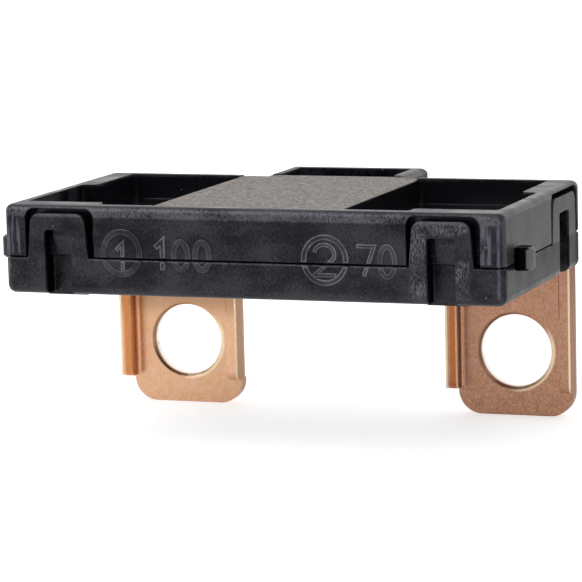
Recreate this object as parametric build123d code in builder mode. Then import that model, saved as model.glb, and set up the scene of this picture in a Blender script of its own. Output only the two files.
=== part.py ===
from build123d import *
import os

# Two-circuit bolt-down fuse block. All sizes are in millimetres.
# X runs along the block, +Y from the marked front face to the rear, and Z is up.
# The origin is midway between the two bolt holes, on the rear face of the bolt tabs.
# Distances named _y below run back from the block's front face, and those named _z up from
# its underside: the planes of the sketches carry them into the frame.

os.makedirs("parts", exist_ok=True)

# Block
body_length = 47.6
body_depth = 25.8
split_height = 3.35
split_gap = 0.12
wall = 1.25
base_floor = 1.2
well_floor = 1.2
corner_radius = 0.85
base_edge_radius = 0.75
rim_edge_radius = 0.65
split_chamfer = 0.1

# Feed nose, the short leg of the T at the rear
nose_centre_x = -0.5
nose_width = 14.0
nose_depth = 7.4
nose_corner_radius = 1.2
nose_root_radius = 0.4

# Cover top
plateau_left = -9.8
plateau_right = 8.3
plateau_overrun = 0.7
plateau_drop = 0.15
plateau_thickness = 1.2
well_corner_radius = 0.5

# Snap loops of the base, and the catches of the cover that they hook over
loop_width = 5.9
loop_margin = 2.6
loop_shift = -0.2
end_loop_width = 8.2
end_loop_margin = 1.65
loop_thickness = 1.35
loop_drop = 0.78
loop_bar = 1.47
loop_taper = 0.35
loop_corner_radius = 0.9
window_width = 2.65
end_window_width = 3.4
window_corner_radius = 0.35
slot_depth = 2.1
slot_foot = 0.3
loop_gap = 0.45
loop_top_gap = 0.5
loop_back_gap = 0.12
catch_side_gap = 0.35
catch_top_gap = 0.08
catch_face_depth = 0.85
catch_lip = 0.6

# Round locating pins on the cover's ends, which reach a little below the split
pin_y = 3.7
pin_diameter = 2.2
pin_offset = 0.62
pin_height = 2.05
pin_lap = 0.6
pin_edge = 0.2

# Output terminals: a strap out through the rear wall, bent down into a flanged tab
sheet = 1.2
hole_x = 16.9
hole_drop = 8.6
hole_diameter = 7.0
hole_rollover = 0.25
tab_drop = 14.85
tab_width = 11.4
tab_corner_radius = 2.3
tab_bend_radius = 1.3
flange_shift = -0.27
flange_span = 12.95
flange_lean = 0.28
flange_reach = 1.8
flange_drop = 12.3
flange_top_gap = 0.1
flange_bend_radius = 0.4
flange_corner_radius = 0.8
flange_edge = 0.15
strap_width = 7.6
strap_front_y = 5.0
strap_side_gap = 0.18
strap_slot_gap = 0.15
finger_y = 12.0
finger_width = 6.0
pad_corner_radius = 0.8

# Feed terminal: a bar down the middle that ends in a blade below the nose
feed_width = 5.4
feed_front_y = 7.0
blade_side_gap = 1.0
blade_back_gap = 2.15
blade_drop = 3.6
blade_bend_radius = 0.8
blade_tip = 0.5

# Fuse links and the tin beads on their necks
link_sheet = 0.5
link_width = 4.4
link_rise = 1.1
link_lap = 1.5
link_end_gap = 0.35
link_ramp = 0.7
link_bend_radius = 0.5
neck_width_100 = 1.5
neck_width_70 = 1.0
bead_diameter = 1.6
bead_height = 0.6
bead_gap = 0.1

# Rests inside the base, and the stakes that locate the terminals
rest_thickness = 1.2
rest_margin = 3.0
boss_diameter = 4.4
stake_diameter = 2.4
stake_gap = 0.1
stake_height = 0.9
stake_y = 8.5
feed_stake_margin = 5.0
socket_step = 1.4

# Heights worked out from the stack of parts, from the underside up
pad_bottom = split_height
pad_top = pad_bottom + sheet
cover_bottom = split_height + split_gap
well_z = pad_top + well_floor
plateau_under_z = pad_top + link_rise + link_sheet + bead_height + bead_gap
plateau_z = plateau_under_z + plateau_thickness
body_height = plateau_z + plateau_drop
loop_top = body_height - loop_drop
window_top = loop_top - loop_bar
catch_top = window_top - catch_top_gap
recess_top = loop_top + loop_top_gap
recess_depth = loop_thickness + loop_back_gap
joggle_depth = recess_depth + wall

# Places worked out along and across the block
half_length = body_length / 2
nose_rear = body_depth + nose_depth
nose_left = nose_centre_x - nose_width / 2
nose_right = nose_centre_x + nose_width / 2
plateau_rear = body_depth + plateau_overrun
socket_front_y = body_depth + socket_step
loop_x = half_length - loop_margin - loop_width / 2
joggle_x = loop_x - loop_width / 2 - loop_gap
end_loop_y = body_depth - end_loop_margin - end_loop_width / 2
strap_x = half_length - joggle_depth - strap_side_gap - strap_width / 2
blade_y = nose_rear - wall - blade_back_gap - sheet / 2
blade_width = nose_width - 2 * wall - 2 * blade_side_gap
tab_front_y = body_depth + tab_bend_radius
tab_rear_y = tab_front_y + sheet
stake_sites = [
    (-strap_x, stake_y),
    (strap_x, stake_y),
    (nose_centre_x, body_depth - wall - feed_stake_margin),
]


def level(height):
    """Horizontal plane at a height above the block's underside."""
    return Plane((0, -tab_rear_y, hole_drop + height))


def upright(depth):
    """Plane along the block at a depth behind its front face, facing forward."""
    return Plane((0, depth - tab_rear_y, hole_drop), x_dir=(1, 0, 0), z_dir=(0, -1, 0))


def crosswise(x, facing=1):
    """Plane across the block at a place along it, facing right, or left for -1."""
    return Plane((x, -tab_rear_y, hole_drop), x_dir=(0, facing, 0), z_dir=(facing, 0, 0))


with BuildSketch() as plan:
    with Locations((0, body_depth / 2)):
        Rectangle(body_length, body_depth)
    with Locations((nose_centre_x, body_depth)):
        Rectangle(nose_width, nose_depth, align=(Align.CENTER, Align.MIN))
    corners = plan.vertices()
    fillet(corners.filter_by(lambda v: abs(v.X) > half_length - wall), corner_radius)
    fillet(corners.filter_by(lambda v: v.Y > nose_rear - wall), nose_corner_radius)
    fillet(
        corners.filter_by(lambda v: abs(v.X) < half_length - wall and v.Y < nose_rear - wall),
        nose_root_radius,
    )

with BuildSketch() as room:
    add(plan.sketch)
    offset(amount=-wall, mode=Mode.REPLACE)


def loop_sites(front_shift=0.0):
    """Plane, place, width and window width of each snap loop, or of its recess."""
    return [
        (upright(0), front_shift - loop_x, loop_width, window_width),
        (upright(0), front_shift + loop_x, loop_width, window_width),
        (crosswise(-half_length, -1), -end_loop_y, end_loop_width, end_window_width),
        (crosswise(half_length), end_loop_y, end_loop_width, end_window_width),
    ]


def block_on(plane, centre, width, low, high, start, depth, mode=Mode.ADD, radius=0.0):
    """Block that runs inward from an outer face, with its upper corners rounded."""
    with BuildSketch(plane.offset(-start), mode=Mode.PRIVATE) as face:
        with Locations((centre, low)):
            Rectangle(width, high - low, align=(Align.CENTER, Align.MIN))
        if radius > 0:
            fillet(face.vertices().group_by(Axis.Y)[-1], radius)
    extrude(face.sketch, amount=start - depth, mode=mode)


def loop_on(plane, centre, width):
    """Upright snap loop: as wide as its opening at the split, and narrower at its top."""
    foot = width / 2
    top = foot - loop_taper
    with BuildSketch(plane, mode=Mode.PRIVATE) as face:
        with BuildLine():
            Polyline(
                (centre - foot, split_height / 2), (centre - foot, split_height),
                (centre - top, loop_top), (centre + top, loop_top),
                (centre + foot, split_height), (centre + foot, split_height / 2), close=True,
            )
        make_face()
        fillet(face.vertices().group_by(Axis.Y)[-1], loop_corner_radius)
    extrude(face.sketch, amount=-loop_thickness)


def catch_on(plane, centre, width):
    """Catch on an outer face: flat on top, and ramped below so that a loop rides over it."""
    corner = plane.from_local_coords((centre - width / 2, 0, 0))
    with BuildSketch(Plane(corner, x_dir=-plane.z_dir, z_dir=plane.x_dir)) as wedge:
        with BuildLine():
            Polyline(
                (catch_face_depth, catch_top), (joggle_depth, catch_top),
                (joggle_depth, cover_bottom), (recess_depth, cover_bottom),
                (catch_face_depth, catch_top - catch_lip), close=True,
            )
        make_face()
    extrude(wedge.sketch, amount=width)


def rectangle_between(x_low, x_high, y_low, y_high, mode=Mode.ADD):
    """Rectangle in the current sketch, given by its sides."""
    with Locations(((x_low + x_high) / 2, (y_low + y_high) / 2)):
        Rectangle(abs(x_high - x_low), abs(y_high - y_low), mode=mode)


def cut_joggles():
    """Take from the current sketch the corners where the cover's wall steps in."""
    for side in (-1, 1):
        rectangle_between(
            side * joggle_x, side * half_length, 0, joggle_depth, mode=Mode.SUBTRACT,
        )
        end_edge = end_loop_y - end_loop_width / 2 - loop_gap
        rectangle_between(
            side * (half_length - joggle_depth), side * half_length, end_edge, body_depth,
            mode=Mode.SUBTRACT,
        )


# Base: an open tray with four upright snap loops
with BuildPart() as base:
    with BuildSketch(level(0)):
        add(plan.sketch)
    extrude(amount=split_height)
    fillet(base.faces().sort_by(Axis.Z)[0].outer_wire().edges(), base_edge_radius)
    chamfer(base.faces().sort_by(Axis.Z)[-1].outer_wire().edges(), split_chamfer)
    with BuildSketch(level(base_floor)):
        add(room.sketch)
    extrude(amount=split_height, mode=Mode.SUBTRACT)
    # Open socket below the nose, behind a cross wall
    with BuildSketch(level(0)):
        rectangle_between(nose_left + wall, nose_right - wall, socket_front_y, nose_rear - wall)
    extrude(amount=split_height, mode=Mode.SUBTRACT)
    with BuildSketch(level(0)):
        rectangle_between(
            nose_left + wall / 2, nose_right - wall / 2, socket_front_y - wall, socket_front_y,
        )
    extrude(amount=pad_bottom)
    # Cross ribs under the straps, and bosses with stakes for their holes
    with BuildSketch(level(base_floor / 2)):
        for x, y in stake_sites:
            with Locations((x, y)):
                Circle(boss_diameter / 2)
        for side in (-1, 1):
            with Locations((side * strap_x, body_depth - wall - rest_margin)):
                Rectangle(strap_width, rest_thickness)
    extrude(amount=pad_bottom - base_floor / 2)
    with BuildSketch(level(pad_bottom)):
        with Locations(*stake_sites):
            Circle(stake_diameter / 2)
    extrude(amount=stake_height)
    for plane, centre, width, window in loop_sites(loop_shift):
        block_on(plane, centre, width, base_floor / 2, split_height, wall / 2, slot_depth + wall)
        block_on(
            plane, centre, window + wall, -slot_foot, base_floor, slot_depth, slot_depth + wall,
        )
        loop_on(plane, centre, width)
        block_on(
            plane, centre, window, -base_floor, window_top, 0, slot_depth,
            mode=Mode.SUBTRACT, radius=window_corner_radius,
        )

# Cover: wells left and right of a flat plateau, and a pocket in the nose
with BuildPart() as cover:
    with BuildSketch(level(cover_bottom)):
        add(plan.sketch)
    extrude(amount=body_height - cover_bottom)
    fillet(cover.faces().sort_by(Axis.Z)[-1].outer_wire().edges(), rim_edge_radius)
    chamfer(cover.faces().sort_by(Axis.Z)[0].outer_wire().edges(), split_chamfer)
    # Wells and the nose pocket, open at the top
    with BuildSketch(level(well_z)) as wells:
        rectangle_between(-half_length + wall, plateau_left, wall, body_depth - wall)
        rectangle_between(plateau_right, half_length - wall, wall, body_depth - wall)
        cut_joggles()
        shortest = min(joggle_x + plateau_left, joggle_x - plateau_right)
        fillet(wells.vertices(), min(well_corner_radius, shortest / 3))
        rectangle_between(nose_left + wall, nose_right - wall, plateau_rear, nose_rear - wall)
    extrude(amount=body_height - well_z, mode=Mode.SUBTRACT)
    # Plateau, just below the rim
    with BuildSketch(level(plateau_z)):
        rectangle_between(plateau_left, plateau_right, wall, plateau_rear)
    extrude(amount=plateau_drop, mode=Mode.SUBTRACT)
    # Hollow underside: shallow below the wells, deep below the plateau
    with BuildSketch(level(cover_bottom)):
        add(room.sketch)
        cut_joggles()
    extrude(amount=pad_top - cover_bottom, mode=Mode.SUBTRACT)
    with BuildSketch(level(cover_bottom)):
        rectangle_between(plateau_left + wall, plateau_right - wall, wall, plateau_rear - wall)
    extrude(amount=plateau_under_z - cover_bottom, mode=Mode.SUBTRACT)
    # Recesses for the snap loops, with the catches inside them
    for plane, centre, width, window in loop_sites():
        block_on(
            plane, centre, width + 2 * loop_gap, cover_bottom - wall, recess_top, 0, recess_depth,
            mode=Mode.SUBTRACT, radius=loop_corner_radius,
        )
        catch_on(plane, centre, window - 2 * catch_side_gap)
    # Slots in the rear wall for the straps
    for side in (-1, 1):
        with BuildSketch(level(cover_bottom)):
            with Locations((side * strap_x, body_depth)):
                Rectangle(strap_width + 2 * strap_slot_gap, 3 * wall)
        extrude(amount=pad_top - cover_bottom, mode=Mode.SUBTRACT)
    # Locating pins: set into the cover's end, and flat towards the base below the split
    for side in (-1, 1):
        start_inside_wall = 180 if side > 0 else 0
        pin_site = Location(
            (side * (half_length + pin_offset), pin_y, 0), (0, 0, start_inside_wall),
        )
        with BuildSketch(level(cover_bottom)):
            with Locations(pin_site):
                Circle(pin_diameter / 2)
        extrude(amount=pin_height - pin_lap)
        with BuildSketch(level(cover_bottom - pin_lap)):
            with Locations(pin_site):
                Circle(pin_diameter / 2)
            rectangle_between(
                0, side * (half_length + split_gap), 0, body_depth, mode=Mode.SUBTRACT,
            )
        extrude(amount=pin_height)
    pin_rims = cover.edges().filter_by(GeomType.CIRCLE).filter_by(
        lambda edge: abs(edge.radius - pin_diameter / 2) < pin_edge / 2
        and abs(edge.center().X) > half_length
    )
    chamfer(pin_rims.group_by(Axis.Z)[0] + pin_rims.group_by(Axis.Z)[-1], pin_edge)


def link_ends(side):
    """Where a fuse link leaves the feed bar, and where it meets its output terminal."""
    start = nose_centre_x + side * feed_width / 2
    if side < 0:
        return start, plateau_left + wall + link_end_gap + link_lap
    return start, plateau_right - wall - link_end_gap - link_lap


def flat_strap(side):
    """Horizontal pad of an output terminal, from its free end to the rear wall."""
    x = side * strap_x
    finger_end = link_ends(side)[1]
    with BuildSketch(level(pad_bottom)) as pad:
        rectangle_between(x - strap_width / 2, x + strap_width / 2, strap_front_y, body_depth)
        rectangle_between(
            min(x, finger_end), max(x, finger_end),
            finger_y - finger_width / 2, finger_y + finger_width / 2,
        )
        fillet(pad.vertices().filter_by(lambda v: v.Y < body_depth - sheet), pad_corner_radius)
        with Locations((x, stake_y)):
            Circle(stake_diameter / 2 + stake_gap, mode=Mode.SUBTRACT)
    extrude(pad.sketch, amount=sheet)


def bend_down(x, width, bend_y, radius):
    """Quarter-round bend from the horizontal pad into a vertical plate."""
    with BuildSketch(crosswise(x - width / 2)) as section:
        with Locations((bend_y, pad_bottom - radius)):
            Circle(radius + sheet)
            Circle(radius, mode=Mode.SUBTRACT)
            Rectangle(
                2 * sheet + 2 * radius, 2 * sheet + 2 * radius,
                align=(Align.MIN, Align.MIN), mode=Mode.INTERSECT,
            )
    extrude(section.sketch, amount=width)


def hanging_tab(side):
    """Vertical bolt tab: a plate, and two flanges folded forward."""
    channel_x = side * hole_x + flange_shift
    bend_z = pad_bottom - tab_bend_radius
    with BuildSketch(upright(tab_rear_y)) as plate:
        with Locations((side * strap_x, -flange_drop)):
            Rectangle(strap_width, bend_z + flange_drop, align=(Align.CENTER, Align.MIN))
        with Locations((side * hole_x, -tab_drop)):
            Rectangle(tab_width, tab_drop - flange_drop, align=(Align.CENTER, Align.MIN))
        fillet(plate.vertices().group_by(Axis.Y)[0], tab_corner_radius)
    extrude(plate.sketch, amount=sheet)
    half_span = flange_span / 2 - sheet / 2
    flange_front_y = tab_front_y - flange_reach
    middle_y = tab_front_y + sheet / 2
    with BuildSketch(level(-flange_drop)) as channel:
        with BuildLine():
            FilletPolyline(
                (channel_x - half_span + flange_lean, flange_front_y),
                (channel_x - half_span, middle_y), (channel_x + half_span, middle_y),
                (channel_x + half_span - flange_lean, flange_front_y),
                radius=flange_bend_radius + sheet / 2,
            )
        trace(line_width=sheet)
        front = channel.vertices().filter_by(lambda v: v.Y < flange_front_y + flange_bend_radius)
        chamfer(front, flange_edge)
    extrude(channel.sketch, amount=flange_drop - flange_top_gap)


def bolt_hole(terminal, side):
    """Punched hole through the tab, with its front edge rolled over."""
    with BuildSketch(upright(tab_rear_y)) as hole:
        with Locations((side * hole_x, -hole_drop)):
            Circle(hole_diameter / 2)
    extrude(hole.sketch, amount=sheet, mode=Mode.SUBTRACT)
    circles = terminal.edges().filter_by(GeomType.CIRCLE)
    rims = circles.filter_by(lambda edge: edge.radius == hole_diameter / 2)
    chamfer(rims.sort_by(Axis.Y)[0], hole_rollover)


def round_flange_corners(terminal):
    """Round the lower front corners of both flanges."""
    flange_front = -sheet - flange_reach
    front = terminal.edges().filter_by(
        lambda edge: abs(edge.center().Y - flange_front) < hole_rollover
    )
    lower = front.filter_by(lambda edge: edge.center().Z < 0 and edge.length > sheet / 2)
    fillet(lower, flange_corner_radius)


# Left and right output terminals
with BuildPart() as left_terminal:
    flat_strap(-1)
    bend_down(-strap_x, strap_width, body_depth, tab_bend_radius)
    hanging_tab(-1)
    bolt_hole(left_terminal, -1)
    round_flange_corners(left_terminal)

with BuildPart() as right_terminal:
    flat_strap(1)
    bend_down(strap_x, strap_width, body_depth, tab_bend_radius)
    hanging_tab(1)
    bolt_hole(right_terminal, 1)
    round_flange_corners(right_terminal)

# Feed terminal in the middle
blade_bend_y = blade_y - sheet / 2 - blade_bend_radius
with BuildPart() as feed_terminal:
    with BuildSketch(level(pad_bottom)) as bar:
        rectangle_between(
            nose_centre_x - feed_width / 2, nose_centre_x + feed_width / 2,
            feed_front_y, socket_front_y,
        )
        rectangle_between(
            nose_centre_x - blade_width / 2, nose_centre_x + blade_width / 2,
            body_depth, blade_bend_y,
        )
        fillet(bar.vertices().group_by(Axis.Y)[0], pad_corner_radius)
        with Locations(stake_sites[2]):
            Circle(stake_diameter / 2 + stake_gap, mode=Mode.SUBTRACT)
    extrude(amount=sheet)
    bend_down(nose_centre_x, blade_width, blade_bend_y, blade_bend_radius)
    with BuildSketch(upright(blade_y + sheet / 2)) as blade:
        with Locations((nose_centre_x, -blade_drop)):
            Rectangle(
                blade_width, pad_bottom - blade_bend_radius + blade_drop,
                align=(Align.CENTER, Align.MIN),
            )
        chamfer(blade.vertices().group_by(Axis.Y)[0], blade_tip)
    extrude(amount=sheet)


def draw_link(side, neck_width):
    """Arched strip from the feed bar to an output terminal, waisted at its crown."""
    start, end = link_ends(side)
    low = pad_top + link_sheet / 2
    high = low + link_rise
    with BuildSketch(upright(finger_y + link_width / 2)) as arch:
        with BuildLine():
            FilletPolyline(
                (start - side * link_lap, low), (start, low),
                (start + side * link_ramp, high), (end - side * link_ramp, high),
                (end, low), (end + side * link_lap, low),
                radius=link_bend_radius,
            )
        trace(line_width=link_sheet)
    extrude(arch.sketch, amount=link_width)
    with BuildSketch(level(pad_top)) as waists:
        with Locations(
            ((start + end) / 2, finger_y - link_width / 2),
            ((start + end) / 2, finger_y + link_width / 2),
        ):
            Circle((link_width - neck_width) / 2)
    extrude(waists.sketch, amount=link_rise + 2 * link_sheet, mode=Mode.SUBTRACT)


def draw_bead(side):
    """Flat drop of tin on the crown of a link."""
    start, end = link_ends(side)
    with BuildSketch(level(pad_top + link_rise + link_sheet)) as drop:
        with Locations(((start + end) / 2, finger_y)):
            Circle(bead_diameter / 2)
    extrude(drop.sketch, amount=bead_height)


with BuildPart() as fuse_link_100:
    draw_link(-1, neck_width_100)

with BuildPart() as fuse_link_70:
    draw_link(1, neck_width_70)

with BuildPart() as tin_bead_100:
    draw_bead(-1)
    chamfer(tin_bead_100.edges().group_by(Axis.Z)[-1], bead_height / 2)

with BuildPart() as tin_bead_70:
    draw_bead(1)
    chamfer(tin_bead_70.edges().group_by(Axis.Z)[-1], bead_height / 2)

pieces = {
    "base_housing": base.part,
    "top_cover": cover.part,
    "left_terminal": left_terminal.part,
    "right_terminal": right_terminal.part,
    "feed_terminal": feed_terminal.part,
    "fuse_link_100": fuse_link_100.part,
    "fuse_link_70": fuse_link_70.part,
    "tin_bead_100": tin_bead_100.part,
    "tin_bead_70": tin_bead_70.part,
}
for name, piece in pieces.items():
    piece.label = name
    export_step(piece, f"parts/{name}.step")
    print(name, len(piece.solids()), round(piece.volume, 2))
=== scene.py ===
# %% [markdown]
# # A two-circuit fuse block
#
# This lesson dresses a small bolt-down fuse block: two black plastic housings clipped
# together, with copper bolt tabs behind them. The solids come from the CAD model and stay as
# they are. Blender adds the finishes, the raised figures on the front, the floor and the light.

import math

import bmesh
import bpy
from mathutils import Matrix, Vector


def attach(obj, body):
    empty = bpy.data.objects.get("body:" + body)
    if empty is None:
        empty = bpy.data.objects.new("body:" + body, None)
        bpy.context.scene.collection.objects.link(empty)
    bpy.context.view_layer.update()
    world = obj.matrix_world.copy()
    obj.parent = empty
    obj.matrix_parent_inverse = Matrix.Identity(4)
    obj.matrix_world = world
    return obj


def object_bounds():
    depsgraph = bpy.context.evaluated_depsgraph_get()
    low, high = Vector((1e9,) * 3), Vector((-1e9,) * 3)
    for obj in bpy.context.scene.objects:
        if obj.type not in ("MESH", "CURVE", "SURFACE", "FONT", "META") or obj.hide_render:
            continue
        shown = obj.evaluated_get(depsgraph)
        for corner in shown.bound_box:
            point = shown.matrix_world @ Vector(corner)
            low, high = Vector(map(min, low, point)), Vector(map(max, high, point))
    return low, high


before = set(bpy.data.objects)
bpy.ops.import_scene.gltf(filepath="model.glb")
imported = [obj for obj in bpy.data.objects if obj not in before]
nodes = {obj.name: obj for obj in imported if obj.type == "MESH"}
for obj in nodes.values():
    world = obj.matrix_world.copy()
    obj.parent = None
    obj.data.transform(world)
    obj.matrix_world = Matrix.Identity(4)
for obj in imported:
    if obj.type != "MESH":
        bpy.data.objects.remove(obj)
cad_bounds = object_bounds()
MM = 0.001
print("CAD nodes:", sorted(nodes))

# %% [markdown]
# ## Camera
#
# The photo was taken with a long lens, from the right and a little above. The camera could be
# placed by eye, but its place was solved from the block's edges and the two round holes, so
# that the render lies over the photo. A camera looks along its own -Z, so its three axes are
# built from azimuth, elevation and roll.

# %% Where the camera looks from
EYE = Vector((100.53, -292.36, 52.31)) * MM
AZIMUTH = math.radians(20.066)
ELEVATION = math.radians(8.648)
ROLL = math.radians(-1.458)

back = Vector((
    math.sin(AZIMUTH) * math.cos(ELEVATION),
    -math.cos(AZIMUTH) * math.cos(ELEVATION),
    math.sin(ELEVATION),
))
level_right = Vector((math.cos(AZIMUTH), math.sin(AZIMUTH), 0))
level_up = back.cross(level_right)
right = math.cos(ROLL) * level_right + math.sin(ROLL) * level_up
up = back.cross(right)
print("camera distance", round(EYE.length / MM), "mm")

# %% Camera
FOCAL_PIXELS = 3200.0
PHOTO_PIXELS = 582.0
SENSOR = 36.0
NEAREST = 0.01

camera_data = bpy.data.cameras.new("photo_camera")
camera_data.sensor_width = SENSOR
camera_data.lens = FOCAL_PIXELS / PHOTO_PIXELS * SENSOR
camera_data.clip_start = NEAREST
camera = bpy.data.objects.new("photo_camera", camera_data)
camera.matrix_world = Matrix((right, up, back)).transposed().to_4x4()
camera.location = EYE
bpy.context.scene.collection.objects.link(camera)
bpy.context.scene.camera = camera
bpy.context.scene.view_settings.view_transform = "Standard"
print("lens", round(camera_data.lens, 1), "mm")

# %% [markdown]
# ## Node helpers
#
# Every finish below is a small node tree. Written out node by node it would be long to read, so
# a few helpers do the adding and linking. Node groups could do this too, but plain functions
# keep each finish in one place. A helper takes numbers or other nodes' outputs alike.

# %% Adding and linking nodes
def add_node(tree, kind, inputs=None, **settings):
    """New node, with its settings made and its inputs set or linked."""
    made = tree.nodes.new(kind)
    for name, value in settings.items():
        setattr(made, name, value)
    for name, value in (inputs or {}).items():
        link_or_set(tree, [made.inputs[name]], [value])
    return made


def link_or_set(tree, sockets, values):
    """Set each socket, or link it where the value is another node's output."""
    for socket, value in zip(sockets, values):
        if isinstance(value, bpy.types.NodeSocket):
            tree.links.new(value, socket)
        else:
            socket.default_value = value


def new_finish(name):
    """New material, its tree and its shader."""
    material = bpy.data.materials.new(name)
    material.use_nodes = True
    return material, material.node_tree, material.node_tree.nodes["Principled BSDF"]


def cover_with(node_names, material):
    """Give the CAD nodes this material alone."""
    for node_name in node_names:
        materials = nodes[node_name].data.materials
        materials.clear()
        materials.append(material)
    print(material.name, "on", ", ".join(node_names))


print("node helpers ready")

# %% [markdown]
# A finish decides how much of each layer shows at each point. That could be painted by hand, but
# here it is worked out from masks: a mask is 1 where a layer shows and 0 where it doesn't. Two
# masks multiplied keep the ground they share, and the highest of several keeps all their ground.

# %% Sums and mixes
def calc(tree, operation, first, second=0.0):
    """One Math node on two numbers or outputs."""
    made = add_node(tree, "ShaderNodeMath", operation=operation)
    link_or_set(tree, made.inputs, (first, second))
    return made.outputs[0]


def times(tree, first, second):
    return calc(tree, "MULTIPLY", first, second)


def highest(tree, masks):
    """The largest of several masks at each point."""
    result = masks[0]
    for mask in masks[1:]:
        result = calc(tree, "MAXIMUM", result, mask)
    return result


def blend_colours(tree, factor, low, high):
    """Colour from low to high as the factor goes from 0 to 1."""
    mixed = add_node(tree, "ShaderNodeMix", data_type="RGBA")
    colours = [(*c, 1) if isinstance(c, tuple) else c for c in (low, high)]
    link_or_set(tree, (mixed.inputs[0], mixed.inputs[6], mixed.inputs[7]), (factor, *colours))
    return mixed.outputs[2]


def blend_values(tree, factor, low, high):
    """Number from low to high as the factor goes from 0 to 1."""
    mixed = add_node(tree, "ShaderNodeMix", data_type="FLOAT")
    link_or_set(tree, mixed.inputs[0:1] + mixed.inputs[2:4], (factor, low, high))
    return mixed.outputs[0]


def lay_on(tree, colour, layers):
    """Colour with layers of (mask, colour) over it, the last one on top."""
    for mask, layer in layers:
        colour = blend_colours(tree, mask, colour, layer)
    return colour


print("sums and mixes ready")

# %% [markdown]
# ## Patterns and places
#
# Wear and grain differ from place to place on the block. Painted images could show that, but
# they would need unwrapped surfaces. Noise and boxes on Object coordinates need none, they stay
# on the part when the view turns, and their sizes can be given in millimetres.

# %% Patterns
def object_place(tree):
    return add_node(tree, "ShaderNodeTexCoord").outputs["Object"]


def grain(tree, size_mm, stretch=(1, 1, 1), detail=2.0):
    """Noise with patches of about size_mm, made longer along an axis by its stretch."""
    scale = [1 / s for s in stretch]
    mapped = add_node(tree, "ShaderNodeMapping", {"Vector": object_place(tree), "Scale": scale})
    noise = add_node(tree, "ShaderNodeTexNoise", {
        "Vector": mapped.outputs["Vector"], "Scale": 1 / (size_mm * MM), "Detail": detail,
    })
    return noise.outputs["Fac"]


def band(tree, value, low, high):
    """0 at low, 1 at high, and smooth between them."""
    ranged = add_node(tree, "ShaderNodeMapRange", {
        "Value": value, "From Min": low, "From Max": high,
    }, interpolation_type="SMOOTHSTEP")
    return ranged.outputs["Result"]


print("patterns ready")

# %% [markdown]
# Some marks belong to one place, such as a loop or an edge. Vertex groups could hold them, but
# the CAD faces are too large for that. So a place is a soft-edged box, and an edge is where the
# true normal differs from the one that the Bevel node has rounded off.

# %% Places
def zone(tree, soft_mm=0.25, **spans_mm):
    """1 inside a box given by its spans along x, y and z, and 0 outside it."""
    places = add_node(tree, "ShaderNodeSeparateXYZ", {"Vector": object_place(tree)}).outputs
    mask = 1.0
    for axis, (low, high) in spans_mm.items():
        place = places[axis.upper()]
        rise = band(tree, place, (low - soft_mm) * MM, (low + soft_mm) * MM)
        fall = band(tree, place, (high - soft_mm) * MM, (high + soft_mm) * MM)
        mask = times(tree, mask, calc(tree, "SUBTRACT", rise, fall))
    return mask


def zones(tree, boxes, soft_mm=0.25):
    """1 inside any of the boxes."""
    return highest(tree, [zone(tree, soft_mm, **spans) for spans in boxes])


def facing_right(tree):
    """How far a face looks towards +X, from -1 to 1."""
    normal = add_node(tree, "ShaderNodeTexCoord").outputs["Normal"]
    return add_node(tree, "ShaderNodeSeparateXYZ", {"Vector": normal}).outputs["X"]


EDGE_LIKENESS = (0.99, 0.8)


def soft_edges(tree, width_mm):
    """Normal that is rounded along edges, and a mask that is 1 there and 0 on flat ground."""
    soft = add_node(tree, "ShaderNodeBevel", {"Radius": width_mm * MM}, samples=4)
    true = add_node(tree, "ShaderNodeNewGeometry")
    likeness = add_node(tree, "ShaderNodeVectorMath", {
        0: soft.outputs["Normal"], 1: true.outputs["Normal"],
    }, operation="DOT_PRODUCT")
    return soft.outputs["Normal"], band(tree, likeness.outputs["Value"], *EDGE_LIKENESS)


print("places ready")

# %% [markdown]
# ## Black moulded plastic
#
# The housings are glass-filled nylon. Seen straight on they are nearly black, and seen at a low
# angle their sheen picks up the white room, so the top and the end look grey. A grey colour
# would look flat from every side. The colour therefore stays very dark, and the look comes from
# the gloss. First come the places that differ, as boxes in the part's millimetres.

# %% Places on the plastic
FRONT = (-28.5, -28.1)
CORNER = (-28.5, -27.9)
END_CORNER = (-28.5, -27.6)
PLATEAU = {"x": (-9.8, 8.3), "y": (-27.0, -1.8), "z": (16.6, 16.72)}
WELLS = {"x": (-22.4, 22.4), "y": (-26.9, 3.5), "z": (14.2, 16.55)}
RIM_FACE = {"x": (-23.6, 23.6), "y": FRONT, "z": (15.75, 16.9)}
HAZY_END = {"x": (23.6, 24.0), "z": (12.1, 16.4)}
DULL_END = {"x": (23.6, 24.0), "z": (8.4, 11.95)}
DULL_CORNER = {"x": (22.5, 25.0), "y": (-4.6, -1.0), "z": (8.4, 13.4)}
PIN = {"x": (23.95, 25.8), "y": (-25.9, -23.2), "z": (11.0, 14.5)}
SLOTS = [
    {"x": (14.0, 22.0), "y": (-27.9, -26.4), "z": (8.0, 16.6)},
    {"x": (-22.0, -14.0), "y": (-27.9, -26.4), "z": (8.0, 16.6)},
]
print("slots behind the loops:", len(SLOTS))
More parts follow.
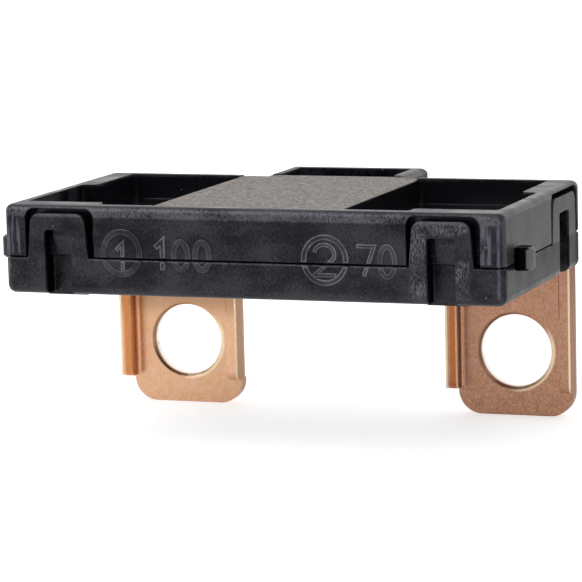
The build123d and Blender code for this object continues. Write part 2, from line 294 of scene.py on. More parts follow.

# %% [markdown]
# The front is marked where fingers and tools reach it: the right loop is scratched, and the
# ground near the figures is scuffed. The corners and the split between the housings get narrow
# bands of painted highlight. Painted masks could hold these places, but a few boxes say the same
# and can be moved by a number.

# %% Marked places on the front
SCRATCHED = [
    {"x": (15.2, 20.9), "y": FRONT, "z": (14.8, 16.2)},
    {"x": (15.2, 16.7), "y": FRONT, "z": (8.6, 15.4)},
    {"x": (18.5, 20.6), "y": FRONT, "z": (9.2, 12.6)},
]
SCUFFED = [
    {"x": (-21.3, -15.5), "y": FRONT, "z": (14.7, 16.2)},
    {"x": (-21.3, -19.4), "y": FRONT, "z": (9.0, 15.2)},
    {"x": (-17.8, -15.6), "y": FRONT, "z": (10.0, 15.2)},
    {"x": (-12.5, -4.5), "y": FRONT, "z": (14.2, 16.2)},
    {"x": (-5.5, 1.0), "y": FRONT, "z": (14.6, 16.3)},
    {"x": (5.5, 9.5), "y": FRONT, "z": (14.2, 15.2)},
]
# Bands of painted highlight on the corners and along the split.
HIGHLIGHT_BANDS = [
    {"x": (21.55, 22.6), "y": CORNER, "z": (12.3, 15.8)},
    {"x": (23.15, 23.4), "y": END_CORNER, "z": (9.2, 16.2)},
    {"x": (23.6, 23.9), "y": (-28.2, -27.2), "z": (12.3, 16.0)},
    {"x": (-22.5, -22.2), "y": CORNER, "z": (12.3, 15.8)},
    {"x": (-23.0, -22.75), "y": CORNER, "z": (12.3, 15.8)},
    {"x": (-23.5, -23.2), "y": END_CORNER, "z": (9.4, 16.0)},
    {"x": (-15.0, 14.9), "y": FRONT, "z": (11.82, 11.9)},
]
print(len(SCRATCHED), "scratched,", len(SCUFFED), "scuffed and", len(HIGHLIGHT_BANDS), "shiny places")

# %% [markdown]
# The moulded ground is clouded, because the glass fibres come near the surface unevenly, and it
# has the fine grain of a spark-eroded mould. Two noises make both, and one mix of them drives
# the colour and later the gloss. The rim gets a painted highlight, and the corners get painted
# highlights in streaks.

# %% Ground of the plastic
PLASTIC_DARK = (0.0008, 0.0009, 0.0022)
PLASTIC_LIGHT = (0.0180, 0.0175, 0.0225)
# The rim's colour and the corners' shine are painted highlights.
RIM_HIGHLIGHT = (0.095, 0.095, 0.106)
PLASTIC_SHINE = (0.105, 0.105, 0.130)
CLOUD_MM = 2.6
MOULD_GRAIN_MM = 0.16
STREAK_MM = 0.3
CLOUD_SHARE = 0.56
GROUND_CUT = (0.42, 0.60)
RIM_CUT = (0.34, 0.58)
STREAK_CUT = (0.32, 0.60)


def plastic_tone(tree):
    """Clouds, mould grain, and the mix of the two."""
    cloud = grain(tree, CLOUD_MM, stretch=(1.6, 1, 1), detail=6)
    fine = grain(tree, MOULD_GRAIN_MM, stretch=(1, 1, 1.8), detail=3)
    tone = calc(tree, "ADD", times(tree, cloud, CLOUD_SHARE), times(tree, fine, 1 - CLOUD_SHARE))
    return cloud, fine, tone


def plastic_ground(tree, tone):
    """Clouded black, with a painted highlight on the rim and painted highlights in streaks."""
    colour = blend_colours(tree, band(tree, tone, *GROUND_CUT), PLASTIC_DARK, PLASTIC_LIGHT)
    rim = times(tree, zone(tree, soft_mm=0.14, **RIM_FACE), band(tree, tone, *RIM_CUT))
    streaks = band(tree, grain(tree, STREAK_MM, stretch=(1, 1, 6), detail=2), *STREAK_CUT)
    shiny = times(tree, zones(tree, HIGHLIGHT_BANDS, soft_mm=0.09), streaks)
    return lay_on(tree, colour, [(rim, RIM_HIGHLIGHT), (shiny, PLASTIC_SHINE)])


print("clouds of", CLOUD_MM, "mm over a grain of", MOULD_GRAIN_MM, "mm")

# %% [markdown]
# Handling left upright scratches on the right loop, pale specks near the figures, a few bits of
# dust, and slightly worn edges, which are also paler as a painted highlight. They could be
# modelled or drawn one by one, but none is large enough to tell apart from the camera. So each
# kind is a noise that is cut to specks or streaks and kept to its places.

# %% Handling marks and edge highlights
PLASTIC_SCUFF = (0.185, 0.187, 0.205)
SCRATCH_MM = 0.055
SPECK_MM = 0.12
PATCH_MM = 1.4
MOTE_SPACING_MM = 1.8
SCRATCH_CUT = (0.44, 0.62)
SPECK_CUT = (0.54, 0.68)
PATCH_CUT = (0.40, 0.62)
MOTE_CUT = (0.065, 0.035)
LEAST_MARKED = 0.35
PATCHES_ADD = 0.5
# The edges' share is partly wear and partly a painted highlight.
MARK_AMOUNTS = {"scuffs": 0.36, "stray specks": 0.14, "edges": 0.35, "motes": 0.8}


def dust_motes(tree):
    """Small round bits of dust, one in each cell of a Voronoi pattern."""
    cells = add_node(tree, "ShaderNodeTexVoronoi", {
        "Vector": object_place(tree), "Scale": 1 / (MOTE_SPACING_MM * MM),
    }).outputs["Distance"]
    return band(tree, cells, *MOTE_CUT)


def wear_and_edge_highlights(tree, edges, motes, lift):
    """Scuffs, and edges paler from wear and a painted highlight, with the lift added everywhere."""
    scratches = band(tree, grain(tree, SCRATCH_MM, stretch=(1, 1, 4.5), detail=2), *SCRATCH_CUT)
    specks = band(tree, grain(tree, SPECK_MM, detail=2), *SPECK_CUT)
    patches = band(tree, grain(tree, PATCH_MM, detail=2), *PATCH_CUT)
    uneven = calc(tree, "ADD", LEAST_MARKED, times(tree, patches, PATCHES_ADD))
    scratched = times(tree, zones(tree, SCRATCHED), uneven)
    scuffed = times(tree, zones(tree, SCUFFED, soft_mm=0.7), MARK_AMOUNTS["scuffs"])
    return highest(tree, [
        times(tree, scratches, scratched),
        times(tree, specks, scuffed),
        times(tree, specks, times(tree, patches, MARK_AMOUNTS["stray specks"])),
        times(tree, edges, times(tree, patches, MARK_AMOUNTS["edges"])),
        times(tree, motes, MARK_AMOUNTS["motes"]),
        times(tree, uneven, lift),
    ])


print("marks:", ", ".join(MARK_AMOUNTS))

# %% [markdown]
# The wells are smooth and deep black, the plateau is matte and dusty, and the right end is hazy.
# The sides of the slots behind the loops are painted black as shade, and so is the pin's front,
# while its right side gets a painted highlight. Separate materials would need the solids cut up,
# so all of these are masks in one finish, and the last two also ask which way a face looks.

# %% Wells, plateau, end and pin
WELL_BLACK = (0.0055, 0.0054, 0.0072)
DUST_DARK = (0.066, 0.055, 0.047)
DUST_LIGHT = (0.37, 0.328, 0.292)
END_HAZE = (0.048, 0.046, 0.046)
# The pin's pale side is a painted highlight, and the black of the slots and the pin is painted shade.
PIN_HIGHLIGHT = (0.14, 0.138, 0.138)
SLOT_SHADE = (0.001, 0.001, 0.0015)
DUST_MM = 0.18
DUST_CUT = (0.32, 0.70)
SLOT_TURN = (0.5, 0.8)
PIN_SHADE_TURN = (0.55, 0.42)
PIN_HIGHLIGHT_TURN = (0.45, 0.60)


def plateau_dust(tree):
    """Colour of the matte, dusty plateau."""
    fine = grain(tree, DUST_MM, stretch=(1.6, 1, 1), detail=5)
    return blend_colours(tree, band(tree, fine, *DUST_CUT), DUST_DARK, DUST_LIGHT)


def painted_shade_and_highlight(tree):
    """Masks of painted shade on the slots' sides and the pin's front, and of the pin's painted
    highlight.
    """
    turn = facing_right(tree)
    slot_shade = times(tree, zones(tree, SLOTS, soft_mm=0.15), band(tree, turn, *SLOT_TURN))
    pin = zone(tree, soft_mm=0.05, **PIN)
    pin_shade = times(tree, pin, band(tree, turn, *PIN_SHADE_TURN))
    pin_highlight = times(tree, pin, band(tree, turn, *PIN_HIGHLIGHT_TURN))
    return highest(tree, [slot_shade, pin_shade]), pin_highlight


print("dust grain", DUST_MM, "mm")

# %% [markdown]
# Gloss tells nylon from paint. It is uneven with the clouds, and weaker where the base's end and
# the faces painted black as shade see no room. Roughness follows the clouds too, and the plateau
# and the wells have their own. The mould grain is far too fine to model, so it is a bump.

# %% Gloss and roughness of the plastic
GLOSS = (0.34, 0.52)
GLOSS_CUT = (0.40, 0.62)
DULLNESS = {"black faces": 0.95, "end of the base": 0.55, "rear corner": 0.9}
SHEEN_TINT = (0.87, 0.89, 1.0, 1)
CLOUD_CUT = (0.35, 0.65)
ROUGHNESS = (0.22, 0.44)
PLATEAU_ROUGHNESS = 0.6
WELL_ROUGHNESS = 0.16
MARK_ROUGHNESS = 0.3


def plastic_gloss(tree, tone, black):
    """Uneven gloss, with its dull places."""
    dull = highest(tree, [
        times(tree, black, DULLNESS["black faces"]),
        times(tree, zone(tree, soft_mm=0.1, **DULL_END), DULLNESS["end of the base"]),
        times(tree, zone(tree, soft_mm=0.5, **DULL_CORNER), DULLNESS["rear corner"]),
    ])
    gloss = blend_values(tree, band(tree, tone, *GLOSS_CUT), *GLOSS)
    return blend_values(tree, dull, gloss, 0.0)


def plastic_roughness(tree, cloud, marks, plateau, wells):
    """Roughness that follows the clouds and the marks, outside the plateau and the wells."""
    rough = add_node(tree, "ShaderNodeMapRange", {
        "Value": cloud, "From Min": CLOUD_CUT[0], "From Max": CLOUD_CUT[1],
        "To Min": ROUGHNESS[0], "To Max": ROUGHNESS[1],
    }).outputs["Result"]
    rough = calc(tree, "ADD", rough, times(tree, marks, MARK_ROUGHNESS))
    rough = blend_values(tree, plateau, rough, PLATEAU_ROUGHNESS)
    return blend_values(tree, wells, rough, WELL_ROUGHNESS)


print("roughness", *ROUGHNESS)

# %% [markdown]
# Now the layers come together over the clouded ground, and the painted shade on the black faces
# comes last, because nothing else shows on them. Each housing could have a finish of its own,
# but both are moulded from the same nylon, so they share one. The raised figures use it again,
# with a lift.

# %% Plastic finish
EDGE_RADIUS_MM = 0.14
GRAIN_HEIGHT_MM = 0.008
GRAIN_STRENGTH = 0.9


def moulded_plastic(name, lift=0.0):
    """Black nylon. The lift makes the raised figures a little paler than the ground."""
    material, tree, shader = new_finish(name)
    rounded, edges = soft_edges(tree, EDGE_RADIUS_MM)
    cloud, fine, tone = plastic_tone(tree)
    motes = dust_motes(tree)
    marks = wear_and_edge_highlights(tree, edges, motes, lift)
    plateau = zone(tree, soft_mm=0.03, **PLATEAU)
    wells = zone(tree, soft_mm=0.1, **WELLS)
    # black is painted shade and pale is a painted highlight, set by which way a face looks.
    black, pale = painted_shade_and_highlight(tree)
    colour = lay_on(tree, plastic_ground(tree, tone), [
        (marks, PLASTIC_SCUFF),
        (zone(tree, soft_mm=0.1, **HAZY_END), END_HAZE),
        (plateau, plateau_dust(tree)),
        (wells, WELL_BLACK),
        (times(tree, wells, motes), PLASTIC_SCUFF),
        (pale, PIN_HIGHLIGHT),
        (black, SLOT_SHADE),
    ])
    bump = add_node(tree, "ShaderNodeBump", {
        "Height": fine, "Distance": GRAIN_HEIGHT_MM * MM, "Normal": rounded,
        "Strength": calc(tree, "SUBTRACT", GRAIN_STRENGTH, wells),
    })
    finish = {
        "Base Color": colour,
        "Specular IOR Level": plastic_gloss(tree, tone, black),
        "Specular Tint": SHEEN_TINT,
        "Roughness": plastic_roughness(tree, cloud, marks, plateau, wells),
        "Normal": bump.outputs["Normal"],
    }
    link_or_set(tree, [shader.inputs[socket] for socket in finish], finish.values())
    return material


cover_with(("base_housing", "top_cover"), moulded_plastic("black_plastic"))

# %% [markdown]
# ## Copper
#
# The terminals are bare copper sheet, stamped and folded. A plain orange metal would look like
# plastic, because real sheet is never even. Its light is painted here as well: a painted highlight
# and painted shade on the lips of the holes, a painted reflection on their walls, and painted
# highlights, painted reflections and painted shade along the flanges. These marks are worked out
# from the hole's axis, so that both tabs share them.

# %% Round a bolt hole
HOLE_RADIUS = 3.5
# The lit lip is a painted highlight, the dark lip is painted shade, and the wall is a painted
# reflection.
DARK_LIP = (0.36, 0.1)
LIT_LIP = (0.56, 0.34)
WALL_EDGE = (0.06, 0.0)
WALL_DEPTH = (-0.7, 0.1)
LIGHT_SIDE = (0.85, 0, -0.5)
LIT_REACH = (1.0, 2.8)
DARK_REACH = (-0.8, -2.6)


def round_hole(tree, hole_x):
    """Masks round a bolt hole: its wall's painted reflection, and its lip's painted highlight and
    shade.
    """
    flat = add_node(tree, "ShaderNodeVectorMath", {
        0: object_place(tree), 1: (1, 0, 1),
    }, operation="MULTIPLY").outputs["Vector"]
    offset = add_node(tree, "ShaderNodeVectorMath", {
        0: flat, 1: (hole_x * MM, 0, 0),
    }, operation="SUBTRACT").outputs["Vector"]
    radius = add_node(tree, "ShaderNodeVectorMath", {0: offset}, operation="LENGTH").outputs["Value"]
    aside = add_node(tree, "ShaderNodeVectorMath", {
        0: offset, 1: LIGHT_SIDE,
    }, operation="DOT_PRODUCT").outputs["Value"]

    def within(margins):
        outer, inner = margins
        return band(tree, radius, (HOLE_RADIUS + outer) * MM, (HOLE_RADIUS + inner) * MM)

    lit = times(tree, within(LIT_LIP), band(tree, aside, *(reach * MM for reach in LIT_REACH)))
    dark = times(tree, within(DARK_LIP), band(tree, aside, *(reach * MM for reach in DARK_REACH)))
    wall = times(tree, within(WALL_EDGE), zone(tree, soft_mm=0.1, y=WALL_DEPTH))
    return wall, lit, dark


print("bolt holes of", 2 * HOLE_RADIUS, "mm")

# %% [markdown]
# Each tab has two folded flanges. From its outer edge inwards, the left one shows a painted
# highlight on its rim, a warm band of painted reflection, a painted highlight on the arris, its
# inner side in painted shade, and the dull corner where it meets the plate, with a little painted
# shade. Small chamfers could show some of this, but the strips are narrower than the sheet is
# thick, so they are colour, measured from the tab's edge.

# %% Along the folds
FOLDS_Y = (-3.3, -1.3)
LEFT_EDGE = -6.5
RIGHT_EDGE = 4.75
LEFT_FOLD = {
    "pale": (0.05, 0.27, 0.05),
    "orange": (0.5, 1.08, 0.08),
    "arris": (1.06, 1.2, 0.03),
    "inner": (1.0, 1.55, 0.03),
    "corner": (1.42, 2.1, 0.05),
}
RIGHT_ARRIS = (0.98, 1.14, 0.03)


def along_folds(tree, hole_x, right_facing):
    """Upright strips on the two flanges, each as low, high and softness from the tab's edge."""
    def strip(edge, span):
        low, high, soft = span
        start = hole_x + edge
        return zone(tree, soft, x=(start + low, start + high), y=FOLDS_Y)

    strips = {name: strip(LEFT_EDGE, span) for name, span in LEFT_FOLD.items()}
    strips["pale"] = highest(tree, [strips["pale"], strip(RIGHT_EDGE, RIGHT_ARRIS)])
    strips["inner"] = times(tree, strips["inner"], right_facing)
    strips["arris"] = times(tree, strips["arris"], calc(tree, "SUBTRACT", 1.0, right_facing))
    return strips


print("strips on a fold:", ", ".join(LEFT_FOLD))

# %% [markdown]
# Most of the copper's tones are gains on its own two. They could be fixed colours, but this way
# a change of alloy is a change of two colours. Darker copper is pitted, or it has painted shade:
# on right-facing sides, inner sides, corners, dark lips and in the block's shade. Orange bands are
# a painted reflection of the fold in itself, and cream is a painted highlight.

# %% Tones of the copper
CREAM = (1.0, 0.76, 0.52)
WALL_REFLECTION = (1.0, 0.97, 0.92)
PINK_GAIN = (1.0, 0.98, 1.22)
BRIGHT_GAIN = (1.25, 1.4, 1.5)
ORANGE_GAIN = (0.80, 0.48, 0.24)
DEEP_GAIN = (0.45, 0.45, 0.45)
PIT_MM = 0.14
ROLLED_MM = 0.12
BLOOM_MM = 0.9
MOTTLE_SHARE = 0.7
SHADE_FADE = 2.4
PIT_CUT = (0.68, 0.76)
# The pits are real; the rest of this darkening is painted shade.
DARKENING = {"pits": 0.5, "block's shade": 0.62, "inner": 0.7, "corner": 0.12, "lip": 0.75}


def toned(colour, gains):
    """Colour with a gain on each of red, green and blue."""
    return tuple(min(1.0, part * gain) for part, gain in zip(colour, gains))


def copper_pattern(tree, mottle_mm):
    """Mottling mixed with the upright lines of the rolled sheet."""
    mottle = grain(tree, mottle_mm, detail=5)
    rolled = grain(tree, ROLLED_MM, stretch=(1, 1, 8), detail=3)
    return calc(tree, "ADD", times(tree, mottle, MOTTLE_SHARE), times(tree, rolled, 1 - MOTTLE_SHARE))


def pits_and_painted_shade(tree, right_facing, side_shade, shade_z, strips, dark_lip):
    """Mask of pits, and of painted shade on right-facing sides, folds, lips and above shade_z."""
    pits = band(tree, grain(tree, PIT_MM, detail=1), *PIT_CUT)
    height = add_node(tree, "ShaderNodeSeparateXYZ", {"Vector": object_place(tree)}).outputs["Z"]
    shaded = band(tree, height, shade_z * MM, (shade_z + SHADE_FADE) * MM)
    return highest(tree, [
        times(tree, pits, DARKENING["pits"]),
        times(tree, right_facing, side_shade),
        times(tree, shaded, DARKENING["block's shade"]),
        times(tree, strips["inner"], DARKENING["inner"]),
        times(tree, strips["corner"], DARKENING["corner"]),
        times(tree, dark_lip, DARKENING["lip"]),
    ])


print("rolled lines of", ROLLED_MM, "mm")

# %% [markdown]
# The folds get painted reflections in warm bands and painted highlights in cream. On the left tab
# the inner side of the fold glows orange, because it faces the lit plate. Real reflections give
# part of this, but the render's sheet is too flat for the rest, so it is added as colour.

# %% Painted reflections and highlights
ORANGE_AMOUNT = 0.95
ARRIS_AMOUNT = 0.9


def painted_reflections_and_highlights(tree, strips, lit, inner_orange):
    """Masks of the orange bands of painted reflection, and of the painted highlights."""
    glow = times(tree, highest(tree, [strips["arris"], strips["inner"]]), inner_orange)
    warm = highest(tree, [times(tree, strips["orange"], ORANGE_AMOUNT), glow])
    arris = times(tree, strips["arris"], ARRIS_AMOUNT - inner_orange)
    return warm, highest(tree, [strips["pale"], lit, arris])


print("orange up to", ORANGE_AMOUNT)

# %% [markdown]
# The copper's layers lie over its mottled ground in this order: tarnish, painted shade, the
# folds' painted reflections, a painted highlight along the edges, the painted highlights, and the
# painted reflection on the holes' walls. Each metal could have a tree of its own, but they differ
# only in two tones, a mottle and a gloss, so all share this one.

# %% Copper finish
FOLD_RADIUS_MM = 0.16
PATTERN_HEIGHT_MM = 0.004
PATTERN_STRENGTH = 0.7
ROUGHNESS_SPREAD = 0.06
CORNER_ROUGHNESS = 0.75
BLOOM_CUT = (0.5, 0.72)
RIGHT_FACING_TURN = (0.6, 0.95)
BLOOM_AMOUNT = 0.55
EDGE_HIGHLIGHT_AMOUNT = 0.12
WALL_REFLECTION_AMOUNT = 0.9


def sheet_roughness(tree, mixed, roughness, corner):
    """Roughness that follows the mottle, and is high in the dull corner of the fold."""
    rough = add_node(tree, "ShaderNodeMapRange", {
        "Value": mixed, "To Min": roughness - ROUGHNESS_SPREAD, "To Max": roughness + ROUGHNESS_SPREAD,
    }).outputs["Result"]
    return blend_values(tree, corner, rough, CORNER_ROUGHNESS)


def bare_copper(name, dark, light, mottle_mm, roughness, contrast=0.15, hole_x=0.0,
                shade_z=9.0, side_shade=0.45, inner_orange=0.0):
    """Two-tone metal sheet, with painted light and shade round the bolt hole at hole_x and on its
    folds.
    """
    material, tree, shader = new_finish(name)
    rounded, edges = soft_edges(tree, FOLD_RADIUS_MM)
    pattern = copper_pattern(tree, mottle_mm)
    mixed = band(tree, pattern, 0.5 - contrast, 0.5 + contrast)
    bloom = band(tree, grain(tree, BLOOM_MM, detail=3), *BLOOM_CUT)
    # Faces that look towards +X get painted shade.
    right_facing = band(tree, facing_right(tree), *RIGHT_FACING_TURN)
    wall, lit, dark_lip = round_hole(tree, hole_x)
    strips = along_folds(tree, hole_x, right_facing)
    darker = pits_and_painted_shade(tree, right_facing, side_shade, shade_z, strips, dark_lip)
    warm, painted_highlights = painted_reflections_and_highlights(tree, strips, lit, inner_orange)
    colour = lay_on(tree, blend_colours(tree, mixed, dark, light), [
        (times(tree, bloom, BLOOM_AMOUNT), toned(light, PINK_GAIN)),
        (darker, toned(dark, DEEP_GAIN)),
        (warm, toned(light, ORANGE_GAIN)),
        # Painted highlights along the edges and in cream, then the painted reflection on the holes'
        # walls.
        (times(tree, edges, EDGE_HIGHLIGHT_AMOUNT), toned(light, BRIGHT_GAIN)),
        (painted_highlights, CREAM),
        (times(tree, wall, WALL_REFLECTION_AMOUNT), WALL_REFLECTION),
    ])
    bump = add_node(tree, "ShaderNodeBump", {
        "Height": pattern, "Distance": PATTERN_HEIGHT_MM * MM, "Normal": rounded,
        "Strength": PATTERN_STRENGTH,
    })
    finish = {
        "Metallic": 1.0,
        "Base Color": colour,
        "Roughness": sheet_roughness(tree, mixed, roughness, strips["corner"]),
        "Normal": bump.outputs["Normal"],
    }
    link_or_set(tree, [shader.inputs[socket] for socket in finish], finish.values())
    return material


print("edges rounded by", FOLD_RADIUS_MM, "mm")

# %% [markdown]
# The left tab is pale and peach, and the right one is browner with a finer mottle. The feed
# blade, which the photo doesn't show, has the left tab's copper. The links and the tin inside
# are never seen, so they take plain tones from the same finish.

# %% Metals on their nodes
HOLE_X = 16.9

left_copper = bare_copper(
    "left_copper", dark=(0.76, 0.43, 0.245), light=(0.87, 0.535, 0.33), mottle_mm=0.6,
    roughness=0.30, hole_x=-HOLE_X, shade_z=1.8, side_shade=0.9, inner_orange=0.85,
)
right_copper = bare_copper(
    "right_copper", dark=(0.415, 0.21, 0.125), light=(0.655, 0.36, 0.232), mottle_mm=0.16,
    roughness=0.36, contrast=0.14, hole_x=HOLE_X, side_shade=0.6,
)
link_alloy = bare_copper(
    "link_alloy", dark=(0.5, 0.32, 0.2), light=(0.62, 0.45, 0.3), mottle_mm=0.5, roughness=0.3,
)
tin = bare_copper(
    "tin", dark=(0.5, 0.5, 0.48), light=(0.68, 0.68, 0.66), mottle_mm=0.3, roughness=0.45,
)
cover_with(("left_terminal", "feed_terminal"), left_copper)
cover_with(("right_terminal",), right_copper)
cover_with(("fuse_link_100", "fuse_link_70"), link_alloy)
cover_with(("tin_bead_100", "tin_bead_70"), tin)

# %% [markdown]
# ## Raised figures
#
# The ratings stand about a tenth of a millimetre proud of the front: a 1 in a ring and 100 for
# the left circuit, a 2 in a ring and 70 for the right one. Text objects could make them, but the
# moulded strokes are even bars with round rims, unlike a font's. So each figure is a flat ribbon
# along a path of (x, z) points, and its corners are mitred.

# %% Ribbons
FRONT_Y = -28.3
SUNK = 0.03


def across_path(ways):
    """Direction across a path at a point, and how much farther a mitred corner reaches."""
    way = sum(ways, Vector((0, 0))).normalized()
    across = Vector((-way.y, way.x))
    return across, 1 / across.dot(Vector((-ways[0].y, ways[0].x)))


def ribbon(shape, path, closed, stroke):
    """Flat strip of even width along a path."""
    points = [Vector(point) for point in path]
    last = len(points) - 1
    rows = []
    for index, point in enumerate(points):
        ways = []
        if closed or index > 0:
            ways.append((point - points[index - 1]).normalized())
        if closed or index < last:
            ways.append((points[(index + 1) % len(points)] - point).normalized())
        across, longer = across_path(ways)
        reach = across * (stroke / 2 * longer)
        rows.append([
            shape.verts.new(Vector((corner.x, FRONT_Y + SUNK, corner.y)) * MM)
            for corner in (point + reach, point - reach)
        ])
    for index in range(len(points) if closed else last):
        first, second = rows[index], rows[(index + 1) % len(points)]
        shape.faces.new((first[0], second[0], second[1], first[1]))


print("figures sink", SUNK, "mm into the front")

# %% [markdown]
# The split between the housings runs through the figures, so the flat ribbons are cut there
# before they are raised: a boolean cut of the finished solids would leave thin slivers. Then the
# ribbons are extruded towards the camera, and their front rims are bevelled. The bevel's faces
# are put in the second material slot, because the rims are worn paler than the flats.

# %% Cut and raise
SPLIT = (11.83, 12.19)
RISE = 0.12
RIM = 0.12
SHARP_ANGLE = 1.0
TINY = 1e-7
WORN_SLOT = 1


def cut_at_split(shape):
    """Remove what lies across the gap between the two housings."""
    for height in SPLIT:
        geometry = shape.verts[:] + shape.edges[:] + shape.faces[:]
        bmesh.ops.bisect_plane(
            shape, geom=geometry, plane_co=(0, 0, height * MM), plane_no=(0, 0, 1), dist=TINY,
        )
    low, high = (height * MM for height in SPLIT)
    gone = [face for face in shape.faces if low < face.calc_center_median().z < high]
    bmesh.ops.delete(shape, geom=gone, context="FACES")


def raise_up(shape):
    """Thicken the flat ribbons forward and round their rims."""
    grown = bmesh.ops.extrude_face_region(shape, geom=shape.faces[:], use_keep_orig=True)
    moved = [item for item in grown["geom"] if isinstance(item, bmesh.types.BMVert)]
    bmesh.ops.translate(shape, verts=moved, vec=(0, -(RISE + SUNK) * MM, 0))
    bmesh.ops.recalc_face_normals(shape, faces=shape.faces[:])
    front = (FRONT_Y - RISE) * MM
    rims = [
        edge for edge in shape.edges
        if all(abs(vert.co.y - front) < TINY for vert in edge.verts)
        and len(edge.link_faces) == 2 and edge.calc_face_angle() > SHARP_ANGLE
    ]
    bevelled = bmesh.ops.bevel(
        shape, geom=rims, offset=RIM * MM, segments=2, profile=0.5, affect="EDGES",
        material=-1, clamp_overlap=True,
    )
    for face in bevelled["faces"]:
        face.material_index = WORN_SLOT


print("figures rise", RISE, "mm")

# %% [markdown]
# On the block a figure is part of the moulding. It could be joined to a housing, but the figures
# run over both, so each one stays a piece of its own that rides with the body and takes a copy of
# the plastic's finish. Its strokes are raised one by one, because the bevel would spoil where they
# meet.

# %% One figure
STROKE = 0.52
figure_plastic = moulded_plastic("figure_plastic", lift=0.2)
worn_rim = moulded_plastic("worn_rim", lift=1.6)


def figure(name, paths, stroke=STROKE):
    """Raised figure from (path, closed) pairs."""
    shape = bmesh.new()
    for path, closed in paths:
        part = bmesh.new()
        ribbon(part, path, closed, stroke)
        cut_at_split(part)
        raise_up(part)
        mesh = bpy.data.meshes.new("stroke")
        part.to_mesh(mesh)
        part.free()
        shape.from_mesh(mesh)
        bpy.data.meshes.remove(mesh)
    mesh = bpy.data.meshes.new(name)
    shape.to_mesh(mesh)
    shape.free()
    made = bpy.data.objects.new(name, mesh)
    bpy.context.scene.collection.objects.link(made)
    mesh.materials.append(figure_plastic)
    mesh.materials.append(worn_rim)
    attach(made, "root")
    print(name, len(mesh.polygons), "faces")
    return made


# %% [markdown]
# The figures need only four kinds of path: an oval for the rings and the noughts, and one path
# each for 1, 2 and 7. Each is worked out from where the figure stands and how tall it is, so a
# figure can be moved or made larger by one number.

# %% Paths of the figures
ZERO_HALF_WIDTH = 0.68
FLAG_DROP = 0.6
TWO_HALF_WIDTH = 0.36
TWO_ARC_HEIGHT = 0.33
TWO_ARC_CENTRE = 0.2
TWO_FOOT_END = 0.42
TWO_ANGLES = range(170, -45, -18)


def oval(x, z, half_width, half_height, steps):
    """Closed oval of (x, z) points."""
    turns = [2 * math.pi * step / steps for step in range(steps)]
    return [(x + half_width * math.cos(t), z + half_height * math.sin(t)) for t in turns], True


def ring(x, z, half_width, half_height):
    return oval(x, z, half_width, half_height, steps=40)


def zero(x, foot, head):
    return oval(x, (foot + head) / 2, ZERO_HALF_WIDTH, (head - foot) / 2, steps=28)


def one(x, foot, head, flag):
    return [(x - flag, head - FLAG_DROP), (x, head), (x, foot)], False


def two(x, z, size):
    """An arc over the top, a slope, and a foot."""
    arc = []
    for turn in map(math.radians, TWO_ANGLES):
        height = TWO_ARC_CENTRE + TWO_ARC_HEIGHT * math.sin(turn)
        arc.append((x + TWO_HALF_WIDTH * size * math.cos(turn), z + size * height))
    foot = z - size / 2
    return arc + [(x - TWO_HALF_WIDTH * size, foot), (x + TWO_FOOT_END * size, foot)], False


def seven(left, right, foot_x, foot, head):
    return [(left, head), (right, head), (foot_x, foot)], False


print("two has", len(two(0, 0, 1)[0]), "points")

# %% [markdown]
# The places, heights and strokes of the figures were measured from the photo, in the front's own
# millimetres. A pattern of equal steps could place them, but the moulded ones aren't that even.
# The rings and the 100 are bolder than the other figures.

# %% The figures
THIN_STROKE = 0.40
ZERO_STROKE = 0.46
HEAD = 13.72
FOOT_100 = 11.22
FOOT_70 = 11.05

figure("ring_1", [ring(-12.12, 12.58, 1.76, 1.93)])
figure("digit_1", [one(-12.05, foot=10.95, head=13.4, flag=0.62)], THIN_STROKE)
figure("rating_100", [
    one(-8.15, FOOT_100 - 0.1, HEAD, flag=0.7),
    zero(-6.35, FOOT_100, HEAD),
    zero(-4.3, FOOT_100, HEAD),
])
figure("ring_2", [ring(7.33, 12.4, 1.98, 2.05)])
figure("digit_2", [two(7.3, 12.38, size=2.65)], THIN_STROKE)
figure("digit_7", [seven(10.3, 11.95, 10.95, FOOT_70, HEAD)], THIN_STROKE)
figure("digit_0", [zero(13.15, FOOT_70, HEAD)], ZERO_STROKE)

# %% [markdown]
# ## Floor
#
# The block was photographed in a white tent. A plain white floor would be grey where the block
# shades it, so the floor also glows a little for the camera and for reflections, which leaves
# the faint shadow of the photo. It passes under the tabs and is paler near the block, because
# the copper shows it from below.

# %% Floor plane
FLOOR_SIZE = 4.0
floor_z = cad_bounds[0][2]
floor_mesh = bpy.data.meshes.new("floor")
shape = bmesh.new()
bmesh.ops.create_grid(shape, x_segments=1, y_segments=1, size=FLOOR_SIZE / 2)
bmesh.ops.translate(shape, verts=shape.verts, vec=(0, 0, floor_z))
shape.to_mesh(floor_mesh)
shape.free()
floor = bpy.data.objects.new("floor", floor_mesh)
bpy.context.scene.collection.objects.link(floor)
print("floor at", round(floor_z / MM, 2), "mm")

# %% [markdown]
# The floor's finish has two jobs. Its colour sends light up to the block, and its glow is seen by
# the camera and in reflections only, through the Light Path node. A stronger lamp could whiten
# the floor as well, but it would wash out the block.

# %% Floor finish
NEAR_WHITE = (0.86, 0.86, 0.86)
FAR_WHITE = (0.6, 0.6, 0.6)
NEAR_TO_FAR = (0.07, 0.13)
CAMERA_GLOW = (0.6, 0.9)
GLOSS_GLOW = (0.35, 0.0)
FLOOR_ROUGHNESS = 0.7

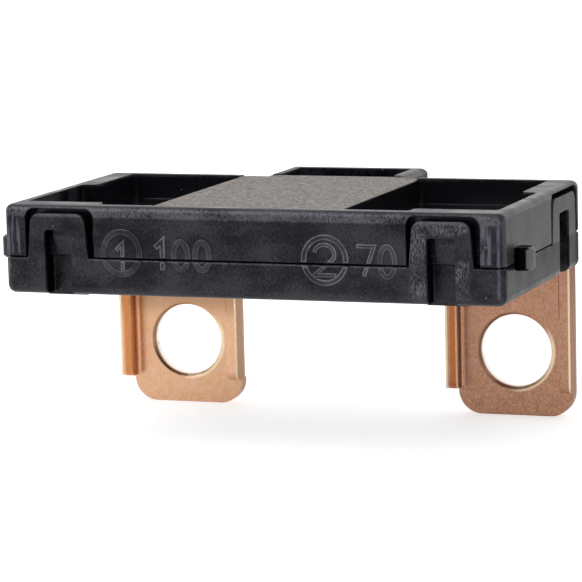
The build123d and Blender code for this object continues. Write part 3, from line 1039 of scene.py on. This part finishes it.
floor_finish, tree, shader = new_finish("floor")
shader.inputs["Roughness"].default_value = FLOOR_ROUGHNESS
shader.inputs["Emission Color"].default_value = (1, 1, 1, 1)
distance = add_node(tree, "ShaderNodeVectorMath", {0: object_place(tree)}, operation="LENGTH")
far = band(tree, distance.outputs["Value"], *NEAR_TO_FAR)
tree.links.new(blend_colours(tree, far, NEAR_WHITE, FAR_WHITE), shader.inputs["Base Color"])
rays = add_node(tree, "ShaderNodeLightPath").outputs
for_camera = times(tree, rays["Is Camera Ray"], blend_values(tree, far, *CAMERA_GLOW))
for_gloss = times(tree, rays["Is Glossy Ray"], blend_values(tree, far, *GLOSS_GLOW))
tree.links.new(calc(tree, "ADD", for_camera, for_gloss), shader.inputs["Emission Strength"])
floor.data.materials.append(floor_finish)
print("floor glow for the camera", *CAMERA_GLOW)

# %% [markdown]
# ## Room and lamp
#
# The tent is the world's even white, a little darker in reflections of its front, where the
# camera stands. Lamps alone could light the block, but their reflections would show on the
# plastic and the copper. So the room does most of the work, and one soft lamp from the left
# gives the shapes their shade.

# %% Room
ROOM_LIGHT = 0.75
FRONT_GLOSS = 0.55
FRONT_WAY = (0.25, -0.96, 0.1)
FRONT_FADE = (0.35, 0.8)
BACKDROP = 1.0

world = bpy.data.worlds.new("tent")
world.use_nodes = True
bpy.context.scene.world = world
tree = world.node_tree
rays = add_node(tree, "ShaderNodeLightPath").outputs
way = add_node(tree, "ShaderNodeTexCoord").outputs["Generated"]
forward = add_node(tree, "ShaderNodeVectorMath", {0: way, 1: FRONT_WAY}, operation="DOT_PRODUCT")
front = band(tree, forward.outputs["Value"], *FRONT_FADE)
gloss = blend_values(tree, front, 1.0, FRONT_GLOSS)
strength = blend_values(tree, rays["Is Glossy Ray"], ROOM_LIGHT, gloss)
clear = calc(tree, "MAXIMUM", rays["Is Camera Ray"], rays["Is Transmission Ray"])
background = tree.nodes["Background"]
background.inputs["Color"].default_value = (1, 1, 1, 1)
tree.links.new(blend_values(tree, clear, strength, BACKDROP), background.inputs["Strength"])
print("room light", ROOM_LIGHT)

# %% [markdown]
# The lamp stands high in front of the block, on the left. A sun or a point lamp would draw hard
# shadows, so it is a square panel 22 cm wide, like a small softbox.

# %% Lamp
LAMP_PLACE = Vector((-180, -220, 260)) * MM
LAMP_SIZE = 220 * MM
LAMP_WATTS = 0.35

lamp_data = bpy.data.lights.new("key", "AREA")
lamp_data.size = LAMP_SIZE
lamp_data.energy = LAMP_WATTS
lamp = bpy.data.objects.new("key", lamp_data)
lamp.location = LAMP_PLACE
lamp.rotation_euler = (-LAMP_PLACE).to_track_quat("-Z", "Y").to_euler()
bpy.context.scene.collection.objects.link(lamp)
print("lamp", round(LAMP_PLACE.length / MM), "mm away")
